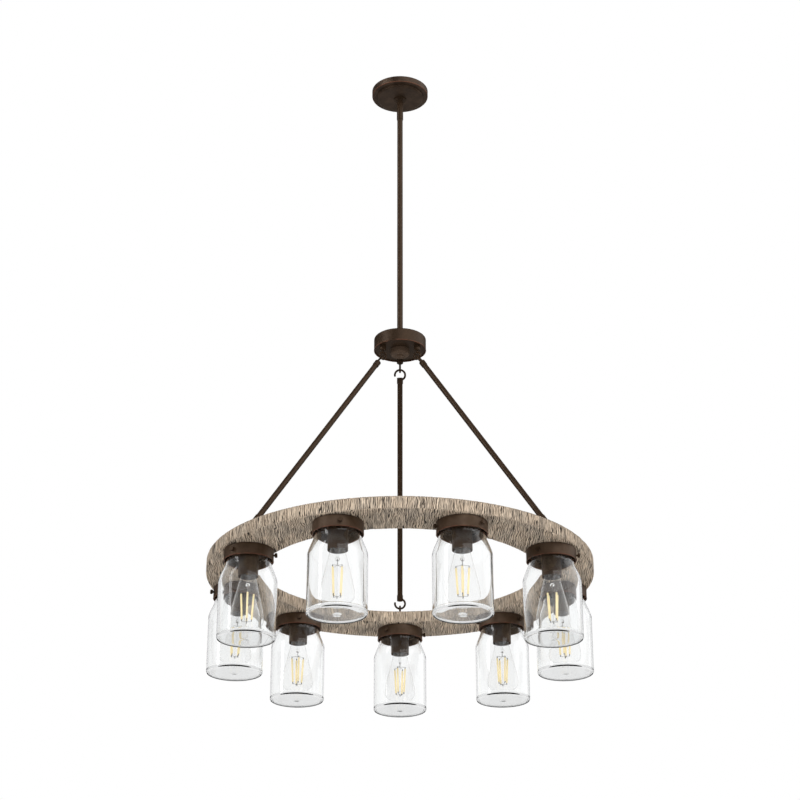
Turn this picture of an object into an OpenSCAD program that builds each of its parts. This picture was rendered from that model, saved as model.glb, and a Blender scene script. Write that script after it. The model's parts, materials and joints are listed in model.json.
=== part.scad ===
// Nine-light ring chandelier: a wooden ring on three hooked rods under a stem, with a glass jar lamp
// on each of nine screw-clamped lids. Millimetres. The origin is the centre of the ceiling bracket's
// top face, +Z points up into the ceiling, and -Y is the front.

/* [Canopy] */
// Diameter of the canopy's rim at the ceiling
canopy_d = 123; // [110:1:150]
// Height of the canopy's rim
canopy_rim_h = 14; // [12:0.5:20]
// Diameter of the raised middle of the canopy
canopy_step_d = 102; // [80:1:106]
// Height of the raised middle below the rim
canopy_step_h = 6; // [4:0.5:9]
// Radius of the rounded edge of the raised middle
canopy_step_edge = 4.5; // [2:0.1:5]
// Sheet thickness of the canopy
canopy_t = 1.5; // [1:0.1:2]

/* [Ceiling bracket] */
// Metal of the bracket's bar past each slot
bracket_end = 4; // [3:0.5:5]
// Width of the bracket's bar
bracket_w = 22; // [18:1:28]
// Thickness of the bracket's bar
bracket_t = 2.5; // [2:0.1:2.8]
// Distance between the middles of the two box-screw slots
slot_spacing = 80; // [76:1:82]
// End-to-end length of each slot
slot_l = 16; // [12:1:18]
// Width of each slot
slot_w = 5; // [4:0.1:6]

/* [Swivel] */
// Diameter of the swivel ball
ball_d = 18; // [17:0.5:19]
// Depth of the ball's centre below the ceiling
ball_drop = 19; // [18.5:0.1:19.5]
// Thickness of the friction seat on top of the ball
seat_t = 1.2; // [0.8:0.1:1.3]
// Running gap on the ball and on the seat
swivel_gap = 0.2; // [0.15:0.01:0.3]
// Wall of the swivel socket at its neck
socket_wall = 1.3; // [1:0.1:1.6]
// Thickness of the collar's lip that holds the ball up
lip_t = 1.35; // [1.2:0.05:1.4]

/* [Stem] */
// Diameter of the stem tube
stem_d = 12; // [10:0.1:12.4]
// Wall of the stem tube
stem_wall = 1.6; // [1:0.1:2]
// Diameter of the sleeve on the stem's top end
sleeve_d = 14; // [13.5:0.1:15]
// Depth of the sleeve's top below the ceiling
sleeve_drop = 29; // [28.5:0.5:40]
// Length of the sleeve
sleeve_l = 44; // [20:1:60]

/* [Hub] */
// Depth of the hub's top below the ceiling
hub_drop = 612.5; // [400:0.5:900]
// Diameter of the hub shell
hub_d = 108; // [104:0.2:120]
// Height of the hub shell
hub_h = 27; // [24:0.1:32]
// Sheet thickness of the hub shell
hub_t = 1.5; // [1:0.1:2]
// Gap between the shell's rolled bead and the hub plate above it
plate_gap = 0.2; // [0.1:0.1:6]
// Thickness of the hub plate
plate_t = 2; // [1.5:0.1:3]
// Diameter of the cap under the hub plate
cap_d = 39; // [36:0.5:50]
// Height that the cap shows below the shell's rim
cap_proud = 11.6; // [8:0.1:18]
// Radius of the cap's rounded edge
cap_edge_r = 4; // [2:0.1:6]
// Diameter of the domed nut under the cap
finial_d = 13; // [9:0.1:16]
// Height of the domed nut
finial_h = 4; // [2:0.1:6]

/* [Hooks and eyes] */
// Wire diameter of the hooks and eyes
wire_d = 4.2; // [3.6:0.1:4.6]
// Radius of an eye, to the middle of its wire
eye_r = 7.3; // [7:0.05:9]
// Radius of a hook, to the middle of its wire
hook_r = 10.8; // [10.2:0.1:12.5]
// Gap between a hook's wire and its eye's wire where they bear
hook_gap = 0.3; // [0.25:0.05:0.5]
// Distance of the hub's eyes inwards from the shell's face
hub_eye_inset = 13; // [12:0.1:17]
// Diameter of the bosses that carry the hub's eyes
boss_d = 13.6; // [11:0.1:15]
// Height that the bosses show below the hub shell's rim
boss_proud = 10.4; // [8:0.1:14]
// Length of wire that shows between a boss and its eye
eye_shank = 2.2; // [1:0.1:6]
// Height of the ring's eyes above the ring, to the middle of the eye
ring_eye_h = 19.4; // [17:0.1:26]

/* [Rods] */
// Diameter of the three rods
rod_d = 11; // [9:0.1:11.5]
// Diameter of the ferrule at each end of a rod
ferrule_d = 12.8; // [12.6:0.1:15]
// Length of a ferrule
ferrule_l = 12.5; // [12:0.1:18]
// Distance from the hook's middle to the ferrule's near end
ferrule_set = 6; // [5.5:0.1:7]
// Depth of a rod in its ferrule
rod_seat = 5; // [4:0.1:5]

/* [Wooden ring] */
// Depth of the ring's underside below the ceiling
ring_drop = 1140.3; // [1000:0.1:1400]
// Outer diameter of the ring
ring_d = 762; // [700:1:900]
// Width of the ring from its outer to its inner face
ring_w = 101.6; // [96:0.1:125]
// Thickness of the ring
ring_t = 25.4; // [22:0.1:32]
// Width of the wiring groove in the ring's top
groove_w = 24; // [20:1:30]
// Depth of the wiring groove
groove_deep = 8; // [6:0.5:10]
// Thickness of the strip that covers the groove
cover_t = 1.5; // [1:0.1:2]
// How far the strip laps over the wood on each side of the groove
cover_lap = 4; // [2:0.5:6]

/* [Lamps] */
// Number of lamps on the ring
lamp_n = 9; // [9]
// Outer diameter of a jar lid's wall
lid_d = 94.8; // [94:0.1:100]
// Height of a jar lid
lid_h = 22.4; // [20:0.1:26]
// Sheet thickness of a jar lid
lid_t = 1.5; // [1:0.1:1.6]
// Diameter of the rolled bead on the lid's and the hub's lower edge
bead_d = 2.2; // [1.6:0.1:2.6]
// Outer diameter of the socket cup
cup_d = 37.8; // [37:0.1:42]
// Depth of the socket cup's mouth below the ring
cup_drop = 53.6; // [48:0.1:60]
// Sheet thickness of the socket cup
cup_t = 1; // [0.8:0.1:1.2]
// Outer diameter of the lampholder
holder_d = 33; // [31:0.1:35]
// Length of the lampholder below the lid
holder_l = 40; // [34:0.5:41]

/* [Glass jars] */
// Outer diameter of the jar's body
jar_d = 110.8; // [100:0.1:124]
// Depth of the jar's foot below the ring
jar_drop = 176; // [172:0.5:200]
// Outer diameter of the jar's neck
jar_neck_d = 86; // [82:0.1:87]
// Outer diameter of the bead on the jar's mouth
jar_lip_d = 90.4; // [89.5:0.1:91]
// Wall of the jar
jar_wall = 3; // [2.5:0.1:4]
// Thickness of the jar's foot
jar_foot = 4; // [3:0.1:9]
// Radius of the jar's heel, where its wall meets its foot
jar_heel_r = 3.6; // [2:0.1:5]
// Depth of the jar's full width below the ring
shoulder_drop = 66; // [56:1:90]

/* [Bulbs] */
// Largest diameter of a bulb
bulb_d = 64; // [56:0.5:66]
// Depth of a bulb's tip below the ring
bulb_drop = 158; // [154:0.5:160]
// Diameter of a bulb's screw base
base_d = 26.2; // [25.8:0.1:26.4]
// Length of a bulb's screw base
base_l = 26; // [24:0.5:28]
// Wall of a bulb's glass
bulb_wall = 0.9; // [0.7:0.1:1.2]
// Length of the glass stem that holds the filaments' wires
bulb_stem_l = 26; // [22:1:28]
// Length of a filament
filament_l = 55; // [46:1:58]
// Diameter of a filament
filament_d = 2.4; // [1.6:0.1:3]

/* [Thumbscrews] */
// Diameter of a thumbscrew's head
knob_d = 9; // [7:0.1:10]
// Length of a thumbscrew's head
knob_l = 4.6; // [3:0.1:6]
// Diameter of a thumbscrew's shank
screw_d = 4; // [3.5:0.1:4.5]
// Distance from the lid's wall to the head's inner face
knob_off = 2.2; // [1.5:0.1:3]
// Depth of the thumbscrews below the ring
screw_drop = 12; // [11.5:0.1:13]

/* [Hidden] */

$fn = 64;

bronze = [0.20, 0.15, 0.13];
brass = [0.72, 0.56, 0.28];
timber = [0.62, 0.53, 0.44];
clear_glass = [0.85, 0.90, 0.92, 0.35];
porcelain = [0.85, 0.82, 0.76];

// Gap between a piece and the bore or cup that it is seated in
seat_gap = 0.05;
// Gap between a sheet-metal piece and what it slips over
slip_gap = 0.15;
// Gap between a thumbscrew's tip and the jar's neck
tip_gap = 0.3;

canopy_h = canopy_rim_h + canopy_step_h;
canopy_edge = 1.2;

bracket_l = slot_spacing + slot_l + 2 * bracket_end;

// Swivel: concentric spheres about the ball's centre
ball_r = ball_d / 2;
seat_in_r = ball_r + swivel_gap;
seat_out_r = seat_in_r + seat_t;
cavity_r = seat_out_r + swivel_gap;
neck_r = cavity_r + socket_wall;
collar_wall = 1.3;
collar_r = neck_r + collar_wall;
neck_below_face = 2.05;
lip_r = ball_r + 0.25;
seat_top_angle = 50;
wire_hole_r = 3.5;
wire_entry_r = wire_hole_r + 1;
spigot_r = 6;

// Hub levels, all as heights in the part's frame
hub_top_z = -hub_drop;
hub_rim_z = hub_top_z - hub_h;
plate_low_z = hub_rim_z + bead_d / 2 + plate_gap;
plate_top_z = plate_low_z + plate_t;
cap_low_z = hub_rim_z - cap_proud;
boss_low_z = hub_rim_z - boss_proud;
hub_eye_r = hub_d / 2 - hub_eye_inset;
hub_eye_z = boss_low_z - eye_shank - eye_r - wire_d / 2;
hub_edge_r = 3.2;
collar_wall_hub = 3.3;
stem_seat_h = 6;
stem_end_z = plate_top_z + stem_seat_h;
stem_fit_r = stem_d / 2 + seat_gap;
cap_t = 1.2;
finial_skirt = 0.8;
stud_d = 4;
stud_past = 2;
wire_port_d = 5;

// Ring levels
ring_z = -ring_drop;
ring_top_z = ring_z + ring_t;
lamp_r = (ring_d - ring_w) / 2;
ring_eye_z = ring_top_z + ring_eye_h;
eye_washer_d = 13;
eye_washer_t = 1.6;
eye_screw_l = 20;
wire_bore_d = 10.4;

// Arms run from a hub eye to a ring eye
arm_angles = [-60, 180, 60];
arm_run = lamp_r - hub_eye_r;
arm_fall = hub_eye_z - ring_eye_z;
arm_tilt = atan2(arm_run, arm_fall);
eye_distance = sqrt(arm_run * arm_run + arm_fall * arm_fall);
hook_off = eye_r - wire_d - hook_gap + hook_r;
hook_distance = eye_distance - 2 * hook_off;
hook_tip_angle = -8;
ferrule_solid = ferrule_l - rod_seat;

// Lamps: the front has two, 20 degrees to either side
lamp_step = 360 / lamp_n;
function lamp_angle(i) = (i - 0.5) * lamp_step;
screw_angles = [26, 146, -94];
lid_r = lid_d / 2;
lid_edge_r = 2;
nipple_d = 9.6;
nipple_bore_d = 6;
nut_across = 15;
nut_h = 3;
holder_bore_r = base_d / 2 + 0.2;
holder_floor_gap = 1.2;
jar_top_gap = 0.3;
jar_lip_edge = 0.8;
jar_bead_gap = 0.8;

// Bulb profile, as depths below the ring
bulb_dome_h = 18;
base_top_drop = 18;
base_low_drop = base_top_drop + base_l;
bulb_wide_drop = bulb_drop - bulb_dome_h;
neck_r_bulb = base_d / 2 - 0.9;
base_bore_deep = 12;
base_bore_r = neck_r_bulb + 0.1;
contact_r = 4.5;
insulator_r = 9;

// Filaments: where they start under the stem's bead, and how far out they stand at either end
bead_r = 4.2;
filament_set = 15;
filament_top_r = 12;
filament_low_r = 9;
filament_turn = 65;
lead_d = 1;
lead_end = 4;

// Points of an arc in the plane of a profile, from one angle to another
function arc(cx, cy, r, from, to, n = 6) =
    [for (k = [0 : n]) let (a = from + (to - from) * k / n) [cx + r * cos(a), cy + r * sin(a)]];

// Smooth step from 0 to 1
function ease(u) = u * u * (3 - 2 * u);

// Turns its children from the front to an angle round the part's axis
module turned(a) {
    rotate([0, 0, a]) children();
}

// Places its children at a lamp's middle, level with the ring's underside
module at_lamp(i) {
    turned(lamp_angle(i)) translate([0, -lamp_r, ring_z]) children();
}

module tube(outer_r, inner_r, low, high) {
    difference() {
        translate([0, 0, low]) cylinder(r = outer_r, h = high - low);
        translate([0, 0, low - 1]) cylinder(r = inner_r, h = high - low + 2);
    }
}

module disc(r, low, high) {
    translate([0, 0, low]) cylinder(r = r, h = high - low);
}

// A slot along X, as one box and two round ends
module slot_cut() {
    half = (slot_l - slot_w) / 2;
    translate([-half, -slot_w / 2, -bracket_t - 1]) cube([2 * half, slot_w, bracket_t + 2]);
    for (s = [-1, 1]) translate([s * half, 0, -bracket_t - 1]) cylinder(d = slot_w, h = bracket_t + 2);
}

module ceiling_bracket() {
    color("silver") difference() {
        translate([-bracket_l / 2, -bracket_w / 2, -bracket_t]) cube([bracket_l, bracket_w, bracket_t]);
        for (s = [-1, 1]) translate([s * slot_spacing / 2, 0, 0]) slot_cut();
        disc(spigot_r + seat_gap, -bracket_t - 1, 1);
    }
}

module canopy() {
    r = canopy_d / 2;
    step_r = canopy_step_d / 2;
    hole_r = neck_r + slip_gap;
    e = canopy_edge;
    f = canopy_step_edge;
    t = canopy_t;
    color(bronze) rotate_extrude($fn = 128) polygon(concat(
        [[r, 0]],
        arc(r - e, -canopy_rim_h + e, e, 0, -90),
        [[step_r, -canopy_rim_h]],
        arc(step_r - f, -canopy_h + f, f, 0, -90),
        [[hole_r, -canopy_h], [hole_r, -canopy_h + t]],
        arc(step_r - f, -canopy_h + f, f - t, -90, 0),
        [[step_r - t, -canopy_rim_h + t], [r - t, -canopy_rim_h + t], [r - t, 0]]
    ));
}

module swivel_socket() {
    color("silver") difference() {
        union() {
            disc(spigot_r, -bracket_t, -0.2);
            disc(neck_r, -canopy_h - neck_below_face, -bracket_t);
        }
        disc(wire_entry_r, -ball_drop, 1);
        translate([0, 0, -ball_drop]) sphere(r = cavity_r);
        disc(cavity_r, -canopy_h - neck_below_face - 1, -ball_drop);
    }
}

module swivel_collar() {
    low = -canopy_h - neck_below_face - lip_t;
    color(bronze) difference() {
        disc(collar_r, low, -canopy_h);
        disc(neck_r + seat_gap, -canopy_h - neck_below_face, 1);
        translate([0, 0, -ball_drop]) sphere(r = lip_r);
    }
}

module swivel_seat() {
    color("ivory") translate([0, 0, -ball_drop]) difference() {
        sphere(r = seat_out_r);
        sphere(r = seat_in_r);
        translate([0, 0, -seat_out_r - 1]) cylinder(r = seat_out_r + 1, h = seat_out_r + 1);
        translate([0, 0, seat_in_r * cos(seat_top_angle)]) cylinder(r = seat_out_r + 1, h = seat_out_r);
    }
}

module swivel_ball() {
    color(bronze) difference() {
        translate([0, 0, -ball_drop]) sphere(r = ball_r);
        disc(wire_hole_r, -ball_drop - ball_d, 0);
        disc(stem_fit_r, -ball_drop - ball_d, -ball_drop);
    }
}

module stem_sleeve() {
    color(bronze) tube(sleeve_d / 2, stem_fit_r, -sleeve_drop - sleeve_l, -sleeve_drop);
}

module stem_tube() {
    color(bronze) tube(stem_d / 2, stem_d / 2 - stem_wall, stem_end_z, -ball_drop - seat_gap);
}

module hub_shell() {
    r = hub_d / 2;
    in_r = r - hub_t;
    top_in = hub_top_z - hub_t;
    color(bronze) union() {
        rotate_extrude($fn = 128) polygon(concat(
            [[in_r, hub_rim_z], [r, hub_rim_z]],
            arc(r - hub_edge_r, hub_top_z - hub_edge_r, hub_edge_r, 0, 90),
            [[stem_fit_r, hub_top_z], [stem_fit_r, top_in]],
            arc(r - hub_edge_r, hub_top_z - hub_edge_r, hub_edge_r - hub_t, 90, 0)
        ));
        rotate_extrude($fn = 128) translate([r - hub_t / 2, hub_rim_z]) circle(d = bead_d, $fn = 24);
    }
}

module hub_plate() {
    color(bronze) difference() {
        union() {
            disc(hub_d / 2 - hub_t - slip_gap, plate_low_z, plate_top_z);
            disc(stem_fit_r + collar_wall_hub, plate_low_z, hub_top_z - hub_t - seat_gap);
        }
        disc(stem_fit_r, stem_end_z, hub_top_z);
        disc(stem_d / 2 - stem_wall, plate_top_z, stem_end_z + 1);
        disc(stud_d / 2 + seat_gap, plate_low_z - 1, plate_top_z + 1);
        translate([0, 0, plate_top_z + stem_seat_h / 2]) rotate([90, 0, 0])
            cylinder(d = wire_port_d, h = hub_d / 4);
        for (a = arm_angles) turned(a) translate([0, -hub_eye_r, 0])
            disc(stud_d / 2 + seat_gap, plate_low_z - 1, plate_top_z + 1);
    }
}

module hub_cap() {
    r = cap_d / 2;
    e = cap_edge_r;
    color(bronze) rotate_extrude() polygon(concat(
        [[r - cap_t, plate_low_z], [r, plate_low_z]],
        arc(r - e, cap_low_z + e, e, 0, -90),
        [[stud_d / 2 + seat_gap, cap_low_z], [stud_d / 2 + seat_gap, cap_low_z + cap_t]],
        arc(r - e, cap_low_z + e, e - cap_t, -90, 0)
    ));
}

module cap_finial() {
    r = finial_d / 2;
    dome_n = 8;
    color(bronze) rotate_extrude() polygon(concat(
        [[0, plate_top_z], [0, cap_low_z - finial_h]],
        [for (k = [1 : dome_n]) let (a = 90 * k / dome_n)
            [r * sin(a), cap_low_z - finial_skirt - (finial_h - finial_skirt) * cos(a)]],
        [[r, cap_low_z], [stud_d / 2, cap_low_z], [stud_d / 2, plate_top_z]]
    ));
}

// A closed wire loop in the radial plane
module eye_loop() {
    rotate([0, 90, 0]) rotate_extrude($fn = 48) translate([eye_r, 0]) circle(d = wire_d, $fn = 24);
}

module hub_eyes() {
    r = boss_d / 2;
    edge = 1.4;
    stud_top = plate_top_z + stud_past;
    color(bronze) for (a = arm_angles) turned(a) translate([0, -hub_eye_r, 0]) {
        rotate_extrude() polygon([
            [0, boss_low_z], [r - edge, boss_low_z], [r, boss_low_z + edge],
            [r, plate_low_z], [stud_d / 2, plate_low_z], [stud_d / 2, stud_top], [0, stud_top]
        ]);
        disc(wire_d / 2, hub_eye_z + eye_r, boss_low_z);
        translate([0, 0, hub_eye_z]) eye_loop();
    }
}

// An open hook and its ferrule: the hook's middle is at the origin and the rod leaves down -Z
module hook_end() {
    union() {
        rotate([90, 0, 0]) rotate([0, 0, hook_tip_angle])
            rotate_extrude(angle = 270 - hook_tip_angle, $fn = 64)
                translate([hook_r, 0]) circle(d = wire_d, $fn = 24);
        rotate([0, -hook_tip_angle, 0]) translate([hook_r, 0, 0]) sphere(d = wire_d, $fn = 24);
        ferrule();
    }
}

module ferrule() {
    r = ferrule_d / 2;
    edge = 0.6;
    near = -ferrule_set;
    floor_z = near - ferrule_solid;
    far = near - ferrule_l;
    bore_r = rod_d / 2 + seat_gap;
    rotate_extrude() polygon([
        [0, near], [r - edge, near], [r, near - edge], [r, far + edge], [r - edge / 2, far],
        [bore_r, far], [bore_r, floor_z], [0, floor_z]
    ]);
}

// A rod with a hook at each end, hung from the hub's eye at an angle round the axis
module arm(a) {
    color(bronze) turned(a) translate([0, -hub_eye_r, hub_eye_z]) rotate([-arm_tilt, 0, 0])
        translate([0, 0, -hook_off]) {
            hook_end();
            translate([0, 0, -hook_distance]) mirror([0, 0, 1]) hook_end();
            in_end = ferrule_set + ferrule_solid + seat_gap;
            disc(rod_d / 2, -hook_distance + in_end, -in_end);
        }
}

module arm_left() { arm(arm_angles[0]); }
module arm_rear() { arm(arm_angles[1]); }
module arm_right() { arm(arm_angles[2]); }

module wood_ring() {
    r = ring_d / 2;
    in_r = r - ring_w;
    edge = 0.8;
    groove_in = lamp_r - groove_w / 2;
    groove_out = lamp_r + groove_w / 2;
    rebate_top = ring_top_z - cover_t;
    color(timber) difference() {
        rotate_extrude($fn = 180) polygon([
            [in_r, ring_z + edge], [in_r + edge, ring_z], [r - edge, ring_z], [r, ring_z + edge],
            [r, ring_top_z - edge], [r - edge, ring_top_z],
            [groove_out + cover_lap, ring_top_z], [groove_out + cover_lap, rebate_top],
            [groove_out, rebate_top], [groove_out, ring_top_z - groove_deep],
            [groove_in, ring_top_z - groove_deep], [groove_in, rebate_top],
            [groove_in - cover_lap, rebate_top], [groove_in - cover_lap, ring_top_z],
            [in_r + edge, ring_top_z], [in_r, ring_top_z - edge]
        ]);
        for (i = [1 : lamp_n]) at_lamp(i) disc(wire_bore_d / 2, -1, ring_t);
        for (a = arm_angles) turned(a) translate([0, -lamp_r, 0])
            disc(stud_d / 2 + seat_gap, ring_top_z - eye_screw_l, ring_top_z);
    }
}

module channel_cover() {
    low = ring_top_z - cover_t;
    half = groove_w / 2 + cover_lap - slip_gap;
    color(bronze) difference() {
        tube(lamp_r + half, lamp_r - half, low, ring_top_z, $fn = 180);
        for (a = arm_angles) turned(a) translate([0, -lamp_r, 0])
            disc(stud_d / 2 + seat_gap, low - 1, ring_top_z + 1);
    }
}

module ring_eyes() {
    washer_top = ring_top_z + eye_washer_t;
    color(bronze) for (a = arm_angles) turned(a) translate([0, -lamp_r, 0]) {
        disc(stud_d / 2, ring_top_z - eye_screw_l + 0.5, ring_top_z);
        disc(eye_washer_d / 2, ring_top_z, washer_top);
        disc(wire_d / 2, ring_top_z, ring_eye_z - eye_r);
        translate([0, 0, ring_eye_z]) eye_loop();
    }
}

// One jar lid with its rolled rim and its three thumbscrew holes
module jar_lid() {
    in_r = lid_r - lid_t;
    difference() {
        union() {
            rotate_extrude() polygon(concat(
                [[in_r, -lid_h], [lid_r, -lid_h]],
                arc(lid_r - lid_edge_r, -lid_edge_r, lid_edge_r, 0, 90),
                [[nipple_d / 2 + seat_gap, 0], [nipple_d / 2 + seat_gap, -lid_t], [in_r, -lid_t]]
            ));
            rotate_extrude() translate([lid_r - lid_t / 2, -lid_h]) circle(d = bead_d, $fn = 24);
        }
        for (a = screw_angles) turned(a) translate([0, 0, -screw_drop]) rotate([90, 0, 0])
            cylinder(d = screw_d + 2 * seat_gap, h = lid_r + 1);
    }
}

module jar_lids() {
    color(bronze) for (i = [1 : lamp_n]) at_lamp(i) jar_lid();
}

module nipple_nuts() {
    low = ring_t - groove_deep;
    color(brass) for (i = [1 : lamp_n]) at_lamp(i) difference() {
        translate([0, 0, low]) cylinder(d = nut_across, h = nut_h, $fn = 6);
        disc(nipple_d / 2 + seat_gap, low - 1, low + nut_h + 1);
    }
}

// One socket cup: an open sleeve under a flange that the lampholder clamps to the lid
module socket_cup() {
    r = cup_d / 2;
    rotate_extrude() polygon([
        [nipple_d / 2 + seat_gap, -lid_t], [r + 3, -lid_t], [r + 3, -lid_t - cup_t], [r, -lid_t - cup_t],
        [r, -cup_drop], [r - cup_t, -cup_drop], [r - cup_t, -lid_t - cup_t],
        [nipple_d / 2 + seat_gap, -lid_t - cup_t]
    ]);
}

module socket_cups() {
    color(bronze) for (i = [1 : lamp_n]) at_lamp(i) socket_cup();
}

// One lampholder: a body with the bulb's socket, on a hollow nipple that goes up through the ring
module lampholder() {
    top = -lid_t - cup_t;
    nipple_top = ring_t - groove_deep + nut_h + 1;
    holder_floor = -base_top_drop + holder_floor_gap;
    rotate_extrude() polygon([
        [nipple_bore_d / 2, nipple_top], [nipple_d / 2, nipple_top], [nipple_d / 2, top],
        [holder_d / 2, top], [holder_d / 2, top - holder_l], [holder_bore_r, top - holder_l],
        [holder_bore_r, holder_floor], [nipple_bore_d / 2, holder_floor]
    ]);
}

module lampholders() {
    color(porcelain) for (i = [1 : lamp_n]) at_lamp(i) lampholder();
}

// One clear jar: beaded mouth, straight neck, long sloping shoulder, straight body, heavy foot
module glass_jar() {
    r = jar_d / 2;
    neck = jar_neck_d / 2;
    lip = jar_lip_d / 2;
    edge = jar_lip_edge;
    top = -lid_t - jar_top_gap;
    bead_low = -screw_drop + screw_d / 2 + jar_bead_gap;
    shoulder_top = lid_h;
    steps = 8;
    in_heel_r = jar_heel_r + 0.4;
    floor_z = -jar_drop + jar_foot;
    punt_r = r / 5;
    outside = [for (k = [0 : steps]) let (u = k / steps)
        [neck + (r - neck) * ease(u), -shoulder_top - (shoulder_drop - shoulder_top) * u]];
    inside = [for (k = [steps : -1 : 0]) [outside[k][0] - jar_wall, outside[k][1] - jar_wall / 3]];
    rotate_extrude() polygon(concat(
        [[neck - jar_wall, top], [lip - edge, top], [lip, top - edge]],
        [[lip, bead_low + edge], [lip - edge, bead_low], [neck, bead_low]],
        outside,
        arc(r - jar_heel_r, -jar_drop + jar_heel_r, jar_heel_r, 0, -90),
        [[punt_r, -jar_drop], [punt_r / 2, -jar_drop + 0.8], [0, -jar_drop + 1], [0, floor_z]],
        arc(r - jar_wall - in_heel_r, floor_z + in_heel_r, in_heel_r, -90, 0),
        inside
    ));
}

module glass_jars() {
    color(clear_glass) for (i = [1 : lamp_n]) at_lamp(i) glass_jar();
}

// Radius of a bulb's glass at a share of the way from its base to its widest part: a cone that rounds off
function bulb_rise(u) = neck_r_bulb + (bulb_d / 2 - neck_r_bulb) * (1.15 * u - 0.15 * pow(u, 8));

module bulb_glass() {
    steps = 9;
    wall = bulb_wall;
    top = -base_low_drop + base_bore_deep - 1;
    shoulder = -base_low_drop - 2;
    wide = -bulb_wide_drop;
    dome_n = 7;
    outside = [for (k = [0 : steps]) let (u = k / steps) [bulb_rise(u), shoulder + (wide - shoulder) * u]];
    dome = [for (k = [1 : dome_n]) let (a = 90 * k / dome_n)
        [bulb_d / 2 * cos(a), wide - bulb_dome_h * sin(a)]];
    in_dome = [for (k = [dome_n : -1 : 1]) let (a = 90 * k / dome_n)
        [(bulb_d / 2 - wall) * cos(a), wide - (bulb_dome_h - wall) * sin(a)]];
    inside = [for (k = [steps : -1 : 0]) [outside[k][0] - wall, outside[k][1]]];
    rotate_extrude() polygon(concat(
        [[neck_r_bulb - wall, top], [neck_r_bulb, top]], outside, dome, in_dome, inside
    ));
}

module bulb_base() {
    r = base_d / 2;
    top = -base_top_drop;
    low = -base_low_drop;
    rotate_extrude() polygon([
        [0, top], [contact_r, top], [contact_r + 0.5, top - 1.5], [insulator_r, top - 3.5],
        [r - 0.6, top - 5], [r, top - 6],
        [r, low], [base_bore_r, low], [base_bore_r, low + base_bore_deep], [0, low + base_bore_deep]
    ]);
}

// The glass stem inside a bulb and the four filaments on their wires
module bulb_mount() {
    stem_top = -base_low_drop + base_bore_deep - 2;
    flare_r = neck_r_bulb - bulb_wall - 0.2;
    bead_z = -base_low_drop - bulb_stem_l;
    fil_top = bead_z - filament_set;
    lean = atan2(filament_top_r - filament_low_r, filament_l);
    fil_low = fil_top - filament_l * cos(lean);
    union() {
        rotate_extrude($fn = 32) polygon([
            [0, stem_top], [flare_r, stem_top], [flare_r - 1, stem_top - 1], [bead_r + 0.4, stem_top - 12],
            [bead_r - 0.6, bead_z], [0, bead_z]
        ]);
        translate([0, 0, bead_z]) sphere(r = bead_r, $fn = 32);
        disc(0.6, fil_low - lead_end, bead_z, $fn = 16);
        for (q = [filament_turn : 90 : filament_turn + 270]) turned(q) {
            translate([0, 0, fil_top]) rotate([90, 0, 0]) cylinder(d = lead_d, h = filament_top_r, $fn = 16);
            translate([0, -filament_top_r, fil_top]) rotate([-lean, 0, 0])
                translate([0, 0, -filament_l]) cylinder(d = filament_d, h = filament_l, $fn = 16);
            translate([0, 0, fil_low]) rotate([90, 0, 0]) cylinder(d = lead_d, h = filament_low_r, $fn = 16);
        }
    }
}

module bulb(i) {
    at_lamp(i) {
        color(clear_glass) bulb_glass();
        color(brass) bulb_base();
        color("khaki") bulb_mount();
    }
}

// One thumbscrew: its tip bears on the jar's neck under the bead
module thumbscrew(i, k) {
    tip = jar_neck_d / 2 + tip_gap;
    tip_edge = 0.5;
    head = lid_r + knob_off;
    edge = 0.6;
    color(bronze) at_lamp(i) turned(screw_angles[k]) translate([0, 0, -screw_drop]) rotate([90, 0, 0])
        rotate_extrude($fn = 32) polygon([
            [0, tip], [screw_d / 2 - tip_edge, tip], [screw_d / 2, tip + tip_edge], [screw_d / 2, head],
            [knob_d / 2 - edge, head], [knob_d / 2, head + edge], [knob_d / 2, head + knob_l - edge],
            [knob_d / 2 - edge, head + knob_l], [0, head + knob_l]
        ]);
}

ceiling_bracket();
canopy();
swivel_socket();
swivel_collar();
swivel_seat();
swivel_ball();
stem_sleeve();
stem_tube();
hub_shell();
hub_plate();
hub_cap();
cap_finial();
hub_eyes();
arm_left();
arm_rear();
arm_right();
wood_ring();
channel_cover();
ring_eyes();
jar_lids();
nipple_nuts();
socket_cups();
lampholders();
glass_jars();
for (i = [1 : lamp_n]) {
    bulb(i);
    for (k = [0 : 2]) {
        thumbscrew(i, k);
    }
}
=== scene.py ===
# Looks of the nine-light ring chandelier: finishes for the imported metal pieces, a carved wooden ring,
# glass jars and filament bulbs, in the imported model's frame. Metres, +Z up, -Y front.
import json
import math
import bmesh
import bpy
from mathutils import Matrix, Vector, noise


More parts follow.
